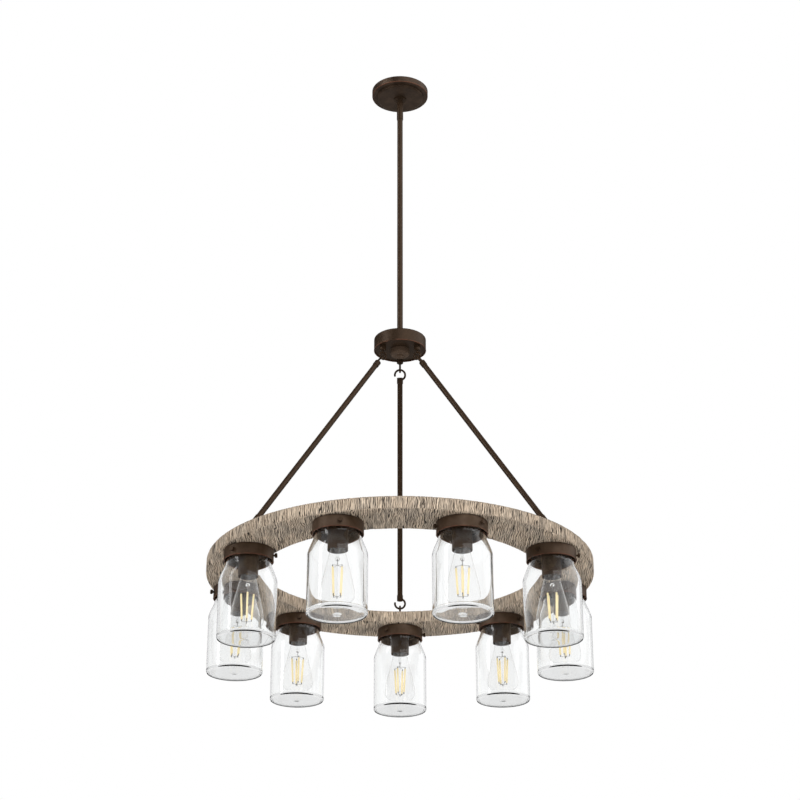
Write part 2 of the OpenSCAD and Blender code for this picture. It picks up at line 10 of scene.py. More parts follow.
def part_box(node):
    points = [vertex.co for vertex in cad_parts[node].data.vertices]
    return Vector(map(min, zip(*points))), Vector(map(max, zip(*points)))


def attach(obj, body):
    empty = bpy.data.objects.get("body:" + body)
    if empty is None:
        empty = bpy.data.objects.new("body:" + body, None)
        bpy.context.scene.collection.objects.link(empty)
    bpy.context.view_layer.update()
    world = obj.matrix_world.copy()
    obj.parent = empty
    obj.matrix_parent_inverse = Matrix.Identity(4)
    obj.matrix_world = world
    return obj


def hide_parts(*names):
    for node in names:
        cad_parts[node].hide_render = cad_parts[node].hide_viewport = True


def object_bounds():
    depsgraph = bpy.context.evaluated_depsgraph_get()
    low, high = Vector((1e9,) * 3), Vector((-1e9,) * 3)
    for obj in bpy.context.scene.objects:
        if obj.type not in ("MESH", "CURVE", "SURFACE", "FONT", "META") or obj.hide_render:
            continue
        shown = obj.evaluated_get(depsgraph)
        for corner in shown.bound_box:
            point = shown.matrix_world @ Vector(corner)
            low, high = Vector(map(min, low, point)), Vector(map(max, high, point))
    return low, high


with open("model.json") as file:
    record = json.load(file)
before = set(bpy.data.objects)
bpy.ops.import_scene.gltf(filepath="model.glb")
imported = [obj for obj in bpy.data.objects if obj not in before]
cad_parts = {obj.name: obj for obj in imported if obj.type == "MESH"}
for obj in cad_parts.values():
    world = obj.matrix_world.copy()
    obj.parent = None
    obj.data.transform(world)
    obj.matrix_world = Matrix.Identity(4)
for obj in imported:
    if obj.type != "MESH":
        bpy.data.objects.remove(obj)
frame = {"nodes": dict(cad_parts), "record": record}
cad_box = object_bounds()

# The ring: its box is the frame's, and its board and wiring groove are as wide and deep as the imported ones
RING_LOW, RING_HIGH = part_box("wood_ring")
RING_R = RING_HIGH.x
RING_Z = RING_LOW.z
RING_TOP = RING_HIGH.z
RING_W = 0.1016
RING_MID = RING_R - RING_W / 2
RING_EDGE = 0.0012
GROOVE_HALF = 0.012
GROOVE_DEEP = 0.008
COVER_HALF = 0.016
COVER_T = 0.0015

# The lamps hang under the middle of the board, evenly round it
LAMPS = range(1, 10)
LAMP_STEP = math.radians(40)

# The canopy's middle hangs this far below its rim
CANOPY_STEP = 0.006

# Colours of the aged bronze, and of the copper that shows on its worn edges
BRONZE = (0.052, 0.029, 0.015)
BRONZE_DARK = (0.037, 0.021, 0.011)
BRONZE_DEEP = (0.034, 0.020, 0.012)
BRONZE_MID = (0.080, 0.050, 0.032)
BRONZE_WARM = (0.094, 0.060, 0.040)
# The cap's bronze is painted lighter: painted light that makes up for the shade under the hub
BRONZE_CAP_PAINTED_LIGHT = (0.120, 0.078, 0.052)
COPPER = (0.150, 0.062, 0.036)

# Colours of the weathered wood
WOOD_PALE = (0.84, 0.685, 0.525)
WOOD_TAN = (0.60, 0.470, 0.348)
WOOD_GREY = (0.43, 0.355, 0.280)
WOOD_DARK = (0.040, 0.031, 0.024)
WOOD_BLACK = (0.016, 0.013, 0.011)

# Dark lines of the wood's grain, counted round the rim
GRAIN_LINES = 700


def turned(r, a, z):
    """The point at radius r and height z, at the angle a from the front."""
    return (r * math.sin(a), -r * math.cos(a), z)


def lamp_angle(i):
    """The angle of a lamp round the ring, from the front."""
    return (i - 0.5) * LAMP_STEP


def lamp_centre(i):
    """The lamp's middle at the ring's underside."""
    return turned(RING_MID, lamp_angle(i), RING_Z)


class Nodes:
    """The node tree of a new material or world, with short calls to add to it."""

    def __init__(self, name, library=bpy.data.materials, output="OutputMaterial"):
        self.owner = library.new(name)
        self.owner.use_nodes = True
        self.tree = self.owner.node_tree
        self.tree.nodes.clear()
        self.output = self.add(output)

    def add(self, kind, **settings):
        node = self.tree.nodes.new("ShaderNode" + kind)
        for key, value in settings.items():
            setattr(node, key, value)
        return node

    def feed(self, socket, value):
        """Links another node's output to the socket, or sets the socket to a number or colour."""
        if isinstance(value, bpy.types.NodeSocket):
            self.tree.links.new(value, socket)
        elif isinstance(value, tuple) and len(socket.default_value) == 4:
            socket.default_value = (*value, 1)
        else:
            socket.default_value = value

    def feed_all(self, node, values):
        """Feeds the node's first inputs, in their order."""
        for socket, value in zip(node.inputs, values):
            self.feed(socket, value)
        return node.outputs[0]

    def math(self, operation, *values):
        return self.feed_all(self.add("Math", operation=operation), values)

    def join(self, x, y, z):
        return self.feed_all(self.add("CombineXYZ"), (x, y, z))

    def mix(self, share, a, b):
        """Shader a, with this share of shader b."""
        return self.feed_all(self.add("MixShader"), (share, a, b))

    def background(self, colour, strength):
        return self.feed_all(self.add("Background"), (colour, strength))

    def transparent(self, colour):
        return self.feed_all(self.add("BsdfTransparent"), (colour,))

    def split(self, vector):
        node = self.add("SeparateXYZ")
        self.feed(node.inputs[0], vector)
        return node.outputs

    def blend(self, share, a, b):
        """Colour a, with this share of colour b."""
        node = self.add("Mix", data_type="RGBA")
        self.feed(node.inputs["Factor"], share)
        self.feed(node.inputs[6], a)
        self.feed(node.inputs[7], b)
        return node.outputs[2]

    def step(self, value, low, high):
        """0 at low, 1 at high, smooth between them."""
        node = self.add("MapRange", interpolation_type="SMOOTHSTEP")
        self.feed(node.inputs["Value"], value)
        self.feed(node.inputs["From Min"], low)
        self.feed(node.inputs["From Max"], high)
        return node.outputs["Result"]

    def band(self, value, low, high, soft):
        """1 between low and high, and 0 from soft past them."""
        return self.math("MULTIPLY", self.step(value, low - soft, low), self.step(value, high + soft, high))

    def noise(self, vector, scale, detail=2.0, roughness=0.5):
        node = self.add("TexNoise")
        self.feed(node.inputs["Vector"], vector)
        self.feed(node.inputs["Scale"], scale)
        self.feed(node.inputs["Detail"], detail)
        self.feed(node.inputs["Roughness"], roughness)
        return node.outputs["Fac"]

    def place(self):
        return self.add("TexCoord").outputs["Object"]

    def values_on(self, attribute):
        """The numbers that a mesh carries on its points."""
        return self.add("Attribute", attribute_name=attribute).outputs["Fac"]

    def bump(self, height, strength, distance):
        node = self.add("Bump")
        self.feed(node.inputs["Strength"], strength)
        self.feed(node.inputs["Distance"], distance)
        self.feed(node.inputs["Height"], height)
        return node.outputs["Normal"]

    def principled(self, **values):
        node = self.add("BsdfPrincipled")
        for key, value in values.items():
            self.feed(node.inputs[key.replace("_", " ")], value)
        return node.outputs[0]

    def finish(self, shader):
        self.feed(self.output.inputs["Surface"], shader)
        return self.owner


def bronze(name, low=BRONZE_DARK, high=BRONZE, worn=None, worn_past=0.0):
    """Dark oil-rubbed bronze. Copper shows where it is worn: between two heights, past a radius."""
    n = Nodes(name)
    place = n.place()
    cloud = n.noise(place, 38, 4, 0.6)
    colour = n.blend(n.step(cloud, 0.25, 0.75), low, high)
    if worn:
        start, end = worn
        soft = (end - start) / 4
        x, y, height = n.split(place)
        r = n.math("SQRT", n.math("ADD", n.math("MULTIPLY", x, x), n.math("MULTIPLY", y, y)))
        patchy = n.step(n.noise(place, 90, 3, 0.6), 0.30, 0.52)
        wear = n.math("MULTIPLY", n.band(height, start + soft, end - soft, soft), patchy)
        wear = n.math("MULTIPLY", wear, n.step(r, worn_past - 0.0005, worn_past))
        colour = n.blend(n.math("MULTIPLY", wear, 0.85), colour, COPPER)
    shader = n.principled(
        Base_Color=colour,
        Metallic=0.30,
        Roughness=n.math("MULTIPLY_ADD", cloud, 0.20, 0.36),
        Specular_IOR_Level=0.35,
        Specular_Tint=(1.0, 0.88, 0.78),
        Normal=n.bump(cloud, 0.05, 0.0006),
    )
    return n.finish(shader)


def plated_steel(name):
    """Zinc-plated steel with a fine spangle."""
    n = Nodes(name)
    place = n.place()
    spangle = n.add("TexVoronoi")
    n.feed(spangle.inputs["Vector"], place)
    n.feed(spangle.inputs["Scale"], 160)
    tone = n.split(spangle.outputs["Color"])[0]
    colour = n.blend(n.math("MULTIPLY", tone, 0.35), (0.52, 0.53, 0.54), (0.68, 0.69, 0.70))
    rough = n.math("MULTIPLY_ADD", n.noise(place, 220, 3), 0.2, 0.28)
    return n.finish(n.principled(Base_Color=colour, Metallic=1.0, Roughness=rough))


def nylon(name):
    """The pale polymer of the swivel's friction seat."""
    n = Nodes(name)
    place = n.place()
    colour = n.blend(n.noise(place, 300, 3), (0.66, 0.62, 0.54), (0.74, 0.71, 0.64))
    relief = n.bump(n.noise(place, 900), 0.1, 0.0003)
    return n.finish(n.principled(Base_Color=colour, Roughness=0.55, Normal=relief))


def brass(name):
    n = Nodes(name)
    cloud = n.noise(n.place(), 120, 4, 0.6)
    colour = n.blend(n.step(cloud, 0.3, 0.7), (0.52, 0.33, 0.10), (0.66, 0.45, 0.17))
    rough = n.math("MULTIPLY_ADD", cloud, 0.2, 0.18)
    return n.finish(n.principled(Base_Color=colour, Metallic=1.0, Roughness=rough))


def porcelain(name):
    """The glazed body of a lampholder."""
    n = Nodes(name)
    place = n.place()
    colour = n.blend(n.noise(place, 90, 3), (0.66, 0.61, 0.52), (0.74, 0.70, 0.62))
    relief = n.bump(n.noise(place, 500, 2), 0.05, 0.0003)
    return n.finish(n.principled(Base_Color=colour, Roughness=0.22, Coat_Weight=0.4, Normal=relief))


def barn_wood(name):
    """Weathered wood. Its grain runs front to back on the flat faces, and up and down on the rims."""
    n = Nodes(name)
    x, y, z = n.split(n.place())
    height = n.math("SUBTRACT", z, RING_Z)
    rim_start = 0.0022
    rim = n.band(height, rim_start, RING_TOP - RING_Z - rim_start, 0.0008)
    sway_x = n.math("DIVIDE", x, 0.007)
    sway_y = n.math("DIVIDE", y, 0.011)
    sway_place = n.join(sway_x, sway_y, n.math("DIVIDE", height, 0.011))
    sway = n.math("SUBTRACT", n.noise(sway_place, 1, 2, 0.5), 0.5)
    across = n.math("MULTIPLY_ADD", sway, 0.0035, x)

    def grained(pitch, length, shift=0.0):
        """A place in grain space: one unit is pitch metres across the grain and length metres along it."""
        per_y = n.math("MULTIPLY_ADD", rim, 1 / pitch - 1 / length, 1 / length)
        return n.join(
            n.math("MULTIPLY_ADD", across, 1 / pitch, shift),
            n.math("MULTIPLY_ADD", y, per_y, shift),
            n.math("DIVIDE", height, length * 0.5),
        )

    drift = n.noise(grained(0.016, 0.100, 17.0), 1, 2, 0.5)
    broken = n.noise(grained(0.0050, 0.045, 3.0), 1, 2, 0.55)
    split = n.math("MULTIPLY", grain_rows(n, x, y, rim, sway, drift), n.step(broken, 0.33, 0.50))
    line = n.noise(grained(0.0021, 0.060), 1, 2, 0.5)
    fibre = n.noise(grained(0.0015, 0.030, 5.0), 1, 2, 0.6)
    patch = n.noise(grained(0.030, 0.080, 11.0), 1, 3, 0.55)
    crack = n.noise(grained(0.0045, 0.060, 23.0), 1, 1, 0.5)
    layers = [
        (n.step(line, 0.48, 0.60), 0.85, WOOD_PALE),
        (n.step(fibre, 0.54, 0.70), 0.40, WOOD_PALE),
        (n.step(line, 0.42, 0.32), 0.75, WOOD_DARK),
        (split, 0.95, WOOD_DARK),
        (n.step(fibre, 0.44, 0.30), 0.45, WOOD_DARK),
        (n.step(n.values_on("tone"), 0.60, 1.0), 0.22, WOOD_GREY),
        (n.step(n.values_on("groove"), 0.50, 1.00), 0.45, WOOD_DARK),
        (n.step(crack, 0.67, 0.71), 0.95, WOOD_BLACK),
    ]
    colour = n.blend(n.step(patch, 0.40, 0.62), WOOD_TAN, WOOD_GREY)
    for where, share, wood in layers:
        colour = n.blend(n.math("MULTIPLY", where, share), colour, wood)
    relief = n.math("SUBTRACT", n.math("MULTIPLY_ADD", line, 0.8, n.math("MULTIPLY", fibre, 0.3)), split)
    shader = n.principled(
        Base_Color=colour,
        Roughness=0.82,
        Specular_IOR_Level=0.25,
        Normal=n.bump(relief, 0.6, 0.0015),
    )
    return n.finish(shader)


def grain_rows(n, x, y, rim, sway, drift):
    """Rows of dark lines, evenly spaced across the flat faces and round the rims, and bent a little."""
    around = n.math("MULTIPLY", n.math("ARCTAN2", x, n.math("MULTIPLY", y, -1.0)), RING_R)
    place = n.math("MULTIPLY_ADD", rim, n.math("SUBTRACT", around, x), x)
    place = n.math("MULTIPLY_ADD", drift, 0.012, n.math("MULTIPLY_ADD", sway, 0.0045, place))
    swirl = n.noise(n.join(n.math("DIVIDE", x, 0.034), n.math("DIVIDE", y, 0.050), 0.0), 1, 1, 0.5)
    swirl_depth = 0.010
    off_rim = n.math("SUBTRACT", swirl_depth, n.math("MULTIPLY", rim, swirl_depth))
    place = n.math("MULTIPLY_ADD", swirl, off_rim, place)
    wave = n.math("SINE", n.math("MULTIPLY", place, GRAIN_LINES / RING_R))
    return n.step(wave, 0.10, 0.75)


def clear_glass(name, tint):
    """Clear glass that casts next to no shadow, so that the lights reach what is inside."""
    n = Nodes(name)
    glass = n.principled(Base_Color=tint, Roughness=0.0, IOR=1.45, Transmission_Weight=1.0)
    shadow = n.add("LightPath").outputs["Is Shadow Ray"]
    return n.finish(n.mix(shadow, glass, n.transparent((0.97, 0.98, 0.98))))


def thin_glass(name):
    """A thin clear bulb: it doesn't bend what is behind it, and veils it a little, more so at its edge."""
    n = Nodes(name)
    layer = n.add("LayerWeight")
    n.feed(layer.inputs["Blend"], 0.5)
    share = n.math("MULTIPLY_ADD", n.math("POWER", layer.outputs["Facing"], 4.0), 0.85, 0.035)
    veil = n.principled(Base_Color=(0.72, 0.72, 0.72), Roughness=0.05)
    return n.finish(n.mix(share, n.transparent((0.985, 0.985, 0.985)), veil))


def phosphor_with_painted_glow(name):
    """The pale yellow coat of an unlit filament, with a faint painted glow that lightens it."""
    n = Nodes(name)
    shader = n.principled(
        Base_Color=n.blend(n.noise(n.place(), 900, 3), (1.0, 0.84, 0.44), (1.0, 0.92, 0.62)),
        Roughness=0.5,
        # Painted glow: the unlit filament gives off a little light of its own
        Emission_Color=(1.0, 0.72, 0.30),
        Emission_Strength=0.30,
    )
    return n.finish(shader)


def dark_wire(name):
    n = Nodes(name)
    colour = n.blend(n.noise(n.place(), 700, 2), (0.16, 0.15, 0.14), (0.30, 0.29, 0.28))
    return n.finish(n.principled(Base_Color=colour, Metallic=0.9, Roughness=0.35))


def mesh_piece(name, points, faces, body, material, place=(0, 0, 0), turn=0.0):
    """A new piece of the scene, shaded smooth and riding on a body."""
    mesh = bpy.data.meshes.new(name)
    mesh.from_pydata([tuple(p) for p in points], [], faces)
    mesh.update()
    mesh.polygons.foreach_set("use_smooth", [True] * len(mesh.polygons))
    mesh.materials.append(material)
    piece = bpy.data.objects.new(name, mesh)
    bpy.context.scene.collection.objects.link(piece)
    piece.location = place
    piece.rotation_euler.z = turn
    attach(piece, body)
    return piece


def gather(parts):
    """Joins several (points, faces) into one."""
    points = []
    faces = []
    for p, f in parts:
        shift = len(points)
        points += list(p)
        faces += [tuple(v + shift for v in face) for face in f]
    return points, faces


def lathe(profile, count):
    """Points and faces of an outline of (radius, height) turned about the Z axis. Radius 0 makes a pole."""
    points = []
    rows = []
    for r, z in profile:
        if r <= 0:
            rows.append([len(points)] * count)
            points.append((0, 0, z))
            continue
        start = len(points)
        rows.append(list(range(start, start + count)))
        for k in range(count):
            a = 2 * math.pi * k / count
            points.append((r * math.cos(a), r * math.sin(a), z))
    faces = []
    for upper, lower in zip(rows, rows[1:]):
        for k in range(count):
            m = (k + 1) % count
            corners = (upper[k], lower[k], lower[m], upper[m])
            face = tuple(dict.fromkeys(corners))
            if len(face) > 2:
                faces.append(face)
    return points, faces


def arc(cx, cz, r, start, end, count):
    """Points of an arc in an outline, between two angles in degrees."""
    turn = [math.radians(start + (end - start) * k / count) for k in range(count + 1)]
    return [(cx + r * math.cos(a), cz + r * math.sin(a)) for a in turn]


def rod(start, end, radius, count=10):
    """Points and faces of a round rod with closed ends."""
    start = Vector(start)
    end = Vector(end)
    axis = (end - start).normalized()
    side = axis.orthogonal().normalized()
    other = axis.cross(side)
    points = []
    for centre in (start, end):
        for k in range(count):
            a = 2 * math.pi * k / count
            points.append(centre + radius * (math.cos(a) * side + math.sin(a) * other))
    faces = [tuple(reversed(range(count))), tuple(range(count, 2 * count))]
    for k in range(count):
        m = (k + 1) % count
        faces.append((k, m, count + m, count + k))
    return points, faces


def ease(u):
    """0 to 1 as u goes from 0 to 1, level at both ends."""
    return u * u * (3 - 2 * u)


# The jars' outline. Heights are from the ring's underside
JAR_R = 0.0554
JAR_FOOT_Z = -0.176
JAR_NECK = 0.043
JAR_LIP = 0.0452
JAR_WALL = 0.003
JAR_FOOT = 0.004
JAR_HEEL = 0.0036
JAR_PUNT_R = JAR_R / 5
JAR_PUNT_H = 0.0004
JAR_TOP_Z = -0.0018
JAR_BEAD_Z = -0.0092
JAR_BEAD_EDGE = 0.0009
SHOULDER_TOP = -0.0224
SHOULDER_LOW = -0.066
SHOULDER_STEPS = 20
BODY_STEPS = 6
JAR_SIDES = 128


def jar_shoulder():
    """From the neck out to the body."""
    points = []
    for k in range(SHOULDER_STEPS + 1):
        u = k / SHOULDER_STEPS
        r = JAR_NECK + (JAR_R - JAR_NECK) * ease(u)
        points.append((r, SHOULDER_TOP + (SHOULDER_LOW - SHOULDER_TOP) * u))
    return points


def jar_body():
    """The body's straight side, between its shoulder and its heel."""
    drop = JAR_FOOT_Z - SHOULDER_LOW
    return [(JAR_R, SHOULDER_LOW + drop * k / BODY_STEPS) for k in range(1, BODY_STEPS)]


def jar_outside():
    """From the mouth's inner edge over the bead and down to the middle of the foot, with its low dimple."""
    wall_r = JAR_NECK - JAR_WALL
    top = [(wall_r, JAR_TOP_Z - 0.001), (wall_r + 0.001, JAR_TOP_Z)]
    bead_r = JAR_LIP - JAR_BEAD_EDGE
    bead = [(bead_r, JAR_TOP_Z), (JAR_LIP, JAR_TOP_Z - JAR_BEAD_EDGE), (JAR_LIP, JAR_BEAD_Z + JAR_BEAD_EDGE)]
    bead += [(bead_r, JAR_BEAD_Z), (JAR_NECK, JAR_BEAD_Z - 0.0004)]
    heel = arc(JAR_R - JAR_HEEL, JAR_FOOT_Z + JAR_HEEL, JAR_HEEL, 0, -90, 10)
    under = [(r, JAR_FOOT_Z) for r in (JAR_R * 0.7, JAR_R * 0.4, JAR_PUNT_R)]
    for u in (0.75, 0.5, 0.25, 0):
        under.append((JAR_PUNT_R * u, JAR_FOOT_Z + JAR_PUNT_H / 2 * (1 + math.cos(math.pi * u))))
    return top + bead + jar_shoulder() + jar_body() + heel + under


def jar_inside():
    """From the middle of the inner floor up to the mouth's inner edge."""
    floor_z = JAR_FOOT_Z + JAR_FOOT
    inner_r = JAR_R - JAR_WALL
    heel = JAR_HEEL + 0.0004
    flat = [(r, floor_z) for r in (0, inner_r * 0.35, inner_r * 0.7, inner_r - heel)]
    corner = arc(inner_r - heel, floor_z + heel, heel, -90, 0, 8)[1:]
    side = [(inner_r, z) for r, z in reversed(jar_body()) if z > floor_z + heel + 0.001]
    shoulder = [(r - JAR_WALL, z - JAR_WALL / 3) for r, z in reversed(jar_shoulder())]
    return flat + corner + side + shoulder + jar_outside()[:1]


def merge_close(piece, distance=1e-6):
    """Joins the points that lie on each other and makes every face look outwards."""
    edit = bmesh.new()
    edit.from_mesh(piece.data)
    bmesh.ops.remove_doubles(edit, verts=edit.verts, dist=distance)
    bmesh.ops.recalc_face_normals(edit, faces=edit.faces)
    edit.to_mesh(piece.data)
    edit.free()
    piece.data.update()


def glass_jars(glass):
    points, faces = gather([lathe(jar_outside(), JAR_SIDES), lathe(jar_inside(), JAR_SIDES)])
    for i in LAMPS:
        name = f"jar_{i}"
        piece = mesh_piece(name, points, faces, "ring", glass, lamp_centre(i))
        merge_close(piece)
        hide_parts("glass_jars")


# The bulbs' outline. Heights are from the ring's underside
BULB_R = 0.032
BULB_TIP_Z = -0.158
BULB_WIDE_Z = -0.140
BULB_NECK = 0.0122
BULB_TOP_Z = -0.046
BASE_R = 0.0131
BASE_TOP_Z = -0.018
BASE_LOW_Z = -0.044
THREAD_TURNS = 5

# The bulbs' inside: the bead at the glass stem's end, four filaments round the middle, and their wires
BEAD_Z = -0.070
BEAD_R = 0.0042
FILAMENTS = 4
FILAMENT_TOP_Z = -0.085
FILAMENT_L = 0.055
FILAMENT_TOP_R = 0.012
FILAMENT_LOW_R = 0.009
FILAMENT_TURN = math.radians(65)
FILAMENT_R = 0.0018
GLASS_ROD_R = 0.0011
CLIP_R = 0.0009
TIP_R = 0.0008
WIRE_R = 0.0005
SPIDER_R = 0.00032


def bulb_outline():
    """The glass, from inside its base down to its tip."""
    steps = 22
    side = []
    for k in range(steps + 1):
        u = k / steps
        r = BULB_NECK + (BULB_R - BULB_NECK) * (1.15 * u - 0.15 * u ** 8)
        side.append((r, BULB_TOP_Z + (BULB_WIDE_Z - BULB_TOP_Z) * u))
    dome_h = BULB_WIDE_Z - BULB_TIP_Z
    dome_steps = 14
    dome = []
    for k in range(1, dome_steps):
        a = math.pi / 2 * k / dome_steps
        dome.append((BULB_R * math.cos(a) ** 0.92, BULB_WIDE_Z - dome_h * math.sin(a)))
    return [(BULB_NECK, BASE_LOW_Z + 0.004)] + side + dome + [(0, BULB_TIP_Z)]


def base_outline():
    """The screw base: a contact and its insulator above a threaded shell."""
    contact = [(0, BASE_TOP_Z), (0.0045, BASE_TOP_Z)]
    insulator = [(0.0050, BASE_TOP_Z - 0.0015), (0.0090, BASE_TOP_Z - 0.0035)]
    top = BASE_TOP_Z - 0.0055
    low = BASE_LOW_Z + 0.003
    steps = THREAD_TURNS * 8
    thread = []
    for k in range(steps + 1):
        u = k / steps
        r = BASE_R - 0.0006 - 0.0005 * math.cos(2 * math.pi * THREAD_TURNS * u)
        thread.append((r, top + (low - top) * u))
    skirt = [(BASE_R - 0.0004, low), (BASE_R, BASE_LOW_Z + 0.001), (BASE_R - 0.0004, BASE_LOW_Z)]
    return contact + insulator + thread + skirt + [(BULB_NECK, BASE_LOW_Z)]


def glass_stem():
    """The pinched glass stem in a bulb's neck, down to the bead that holds the wires."""
    outline = [(BULB_NECK - 0.0012, BASE_LOW_Z + 0.002), (BULB_NECK - 0.0016, BASE_LOW_Z)]
    outline += [(0.0075, BASE_LOW_Z - 0.006), (0.0036, BASE_LOW_Z - 0.013), (0.0026, BEAD_Z + BEAD_R)]
    return lathe(outline, 32)


def glass_bead():
    """The round bead at the stem's end."""
    outline = [(0, BEAD_Z + BEAD_R)] + arc(0, BEAD_Z, BEAD_R, 75, -75, 12) + [(0, BEAD_Z - BEAD_R)]
    return lathe(outline, 32)


def filament_ends(k):
    """The top and bottom of a bulb's filament number k."""
    a = FILAMENT_TURN + 2 * math.pi / FILAMENTS * k
    lean = math.asin((FILAMENT_TOP_R - FILAMENT_LOW_R) / FILAMENT_L)
    low_z = FILAMENT_TOP_Z - FILAMENT_L * math.cos(lean)
    return Vector(turned(FILAMENT_TOP_R, a, FILAMENT_TOP_Z)), Vector(turned(FILAMENT_LOW_R, a, low_z))


def glass_rod():
    """The thin glass rod down the middle, from the bead to the lower spider."""
    low_z = filament_ends(0)[1].z - 0.001
    return rod((0, 0, BEAD_Z - BEAD_R), (0, 0, low_z), GLASS_ROD_R, 16)


def filaments():
    """The filaments' coated lengths, between their clips."""
    parts = []
    for k in range(FILAMENTS):
        top, low = filament_ends(k)
        parts.append(rod(top.lerp(low, 0.05), top.lerp(low, 0.95), FILAMENT_R))
    return gather(parts)


def wires():
    """Clips on the filaments' ends, their spiders, and the wire down the middle."""
    parts = []
    top_hub = Vector((0, 0, FILAMENT_TOP_Z + 0.003))
    low_z = filament_ends(0)[1].z
    low_hub = Vector((0, 0, low_z - 0.002))
    for k in range(FILAMENTS):
        top, low = filament_ends(k)
        parts.append(rod(top.lerp(low, -0.02), top.lerp(low, 0.055), CLIP_R, 8))
        parts.append(rod(top.lerp(low, 0.945), top.lerp(low, 1.02), CLIP_R, 8))
        parts.append(rod(top_hub, top.lerp(low, -0.02), SPIDER_R, 6))
        parts.append(rod(low_hub, low.lerp(top, -0.02), SPIDER_R, 6))
    parts.append(rod((0, 0, BEAD_Z), top_hub, WIRE_R, 8))
    parts.append(rod(low_hub, low_hub - Vector((0, 0, 0.004)), TIP_R, 8))
    return gather(parts)


def bulbs(glass, bead_glass, metal, yellow, wire):
    shapes = [
        ("glass", lathe(bulb_outline(), 64), glass, "bulb_glass"),
        ("base", lathe(base_outline(), 48), metal, "lamp_brass"),
        ("stem", glass_stem(), glass, "bulb_glass"),
        ("bead", glass_bead(), bead_glass, "bulb_glass"),
        ("rod", glass_rod(), glass, "bulb_glass"),
        ("filaments", filaments(), yellow, "filament_phosphor"),
        ("wires", wires(), wire, "galvanised_steel"),
    ]
    for i in LAMPS:
        centre = lamp_centre(i)
        turn = lamp_angle(i)
        for part, (points, faces), material, slot in shapes:
            name = f"bulb_{i}_{part}"
            piece = mesh_piece(name, points, faces, f"bulb_{i}", material, centre, turn)
            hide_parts(f"bulb_{i}")


# The wooden ring's carved grain: its lines' spacing and length, and the deepest that they are cut
SEGMENTS = 1500
PITCH = 0.0036
GRAIN_L = 0.070
DEEPEST = 0.0008

# Middles of the flat-sawn figures, where the grain's lines meet in nested arches
FRONT_FIGURES = [(-0.26, -0.24), (-0.19, -0.31), (-0.05, -0.36), (0.12, -0.33), (0.24, -0.28)]
REAR_FIGURES = [(-0.11, 0.32), (0.07, 0.33), (0.21, 0.26)]
FIGURE_R = 0.030
FIGURE_BEND = 0.9


def figured(x, y):
    """Bends the grain round the figures."""
    bend = 0.0
    for at_x, at_y in FRONT_FIGURES + REAR_FIGURES:
        dx = x - at_x
        dy = y - at_y
        near = math.exp(-(dx * dx + dy * dy * 0.5) / FIGURE_R ** 2)
        if near > 0.01:
            side = math.copysign(math.sqrt(dx * dx + 0.00002), dx)
            bend += near * (side * dy / FIGURE_R) * FIGURE_BEND
    return x + bend


def grain_at(x, y, z, rim):
    """How deep the grain is carved here, from 0 to 1, and the wood's tone. Rims have upright grain."""
    high = z - RING_Z
    sway = noise.noise(Vector((x / 0.02, y / 0.03, high / 0.03)))
    across = figured(x, y) + 0.0022 * sway

    def grained(pitch, length, shift=0.0):
        per_y = 1 / pitch if rim else 1 / length
        return noise.noise(Vector((across / pitch + shift, y * per_y + shift, high / length * 2)))

    line = grained(PITCH, GRAIN_L)
    fine = grained(PITCH / 1.9, GRAIN_L / 1.7, 9)
    tone = grained(0.045, 0.07, 4)
    crack = grained(0.0080, 0.060, 31)
    ridge = max(0.0, 1 - abs(line + 0.05) / 0.22) * 0.60
    ridge = max(ridge, max(0.0, 1 - abs(fine) / 0.18) * 0.45)
    gouge = max(0.0, (crack - 0.42) / 0.20)
    groove = min(1.0, max(ridge, min(1.0, gouge)))
    return groove, min(1.0, max(0.0, 0.5 + 1.1 * tone))


def ring_outline():
    """The ring's section as (radius, height, outward radius, outward height).

    The groove's points have no way outwards, so they aren't carved.
    """
    inner = RING_R - RING_W
    low, top = RING_Z, RING_TOP
    rebate = top - COVER_T
    bed = top - GROOVE_DEEP
    corners = [
        (inner + RING_EDGE, low, 56, (0, -1)),
        (RING_R - RING_EDGE, low, 1, (0.7, -0.7)),
        (RING_R, low + RING_EDGE, 5, (1, 0)),
        (RING_R, top - RING_EDGE, 1, (0.7, 0.7)),
        (RING_R - RING_EDGE, top, 16, (0, 1)),
        (RING_MID + COVER_HALF, top, 1, (0, 0)),
        (RING_MID + COVER_HALF, rebate, 1, (0, 0)),
        (RING_MID + GROOVE_HALF, rebate, 1, (0, 0)),
        (RING_MID + GROOVE_HALF, bed, 1, (0, 0)),
        (RING_MID - GROOVE_HALF, bed, 1, (0, 0)),
        (RING_MID - GROOVE_HALF, rebate, 1, (0, 0)),
        (RING_MID - COVER_HALF, rebate, 1, (0, 0)),
        (RING_MID - COVER_HALF, top, 16, (0, 1)),
        (inner + RING_EDGE, top, 1, (-0.7, 0.7)),
        (inner, top - RING_EDGE, 5, (-1, 0)),
        (inner, low + RING_EDGE, 1, (-0.7, -0.7)),
    ]
    outline = []
    for (r, z, count, out), (next_r, next_z, *_) in zip(corners, corners[1:] + corners[:1]):
        for k in range(count):
            outline.append((r + (next_r - r) * k / count, z + (next_z - z) * k / count, *out))
    return outline


def wooden_ring(wood):
    outline = ring_outline()
    size = len(outline)
    points = []
    grooves = []
    tones = []
    for k in range(SEGMENTS):
        a = 2 * math.pi * k / SEGMENTS
        for r, z, out_r, out_z in outline:
            groove, tone = grain_at(*turned(r, a, z), out_z == 0)
            depth = DEEPEST * groove
            points.append(turned(r - depth * out_r, a, z - depth * out_z))
            grooves.append(groove)
            tones.append(tone)
    faces = []
    for k in range(SEGMENTS):
        here = k * size
        there = ((k + 1) % SEGMENTS) * size
        for j in range(size):
            m = (j + 1) % size
            faces.append((here + j, here + m, there + m, there + j))
    piece = mesh_piece("ring_timber", points, faces, "ring", wood)
    for name, values in (("groove", grooves), ("tone", tones)):
        attribute = piece.data.attributes.new(name, "FLOAT", "POINT")
        attribute.data.foreach_set("value", values)
    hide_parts("wood_ring")


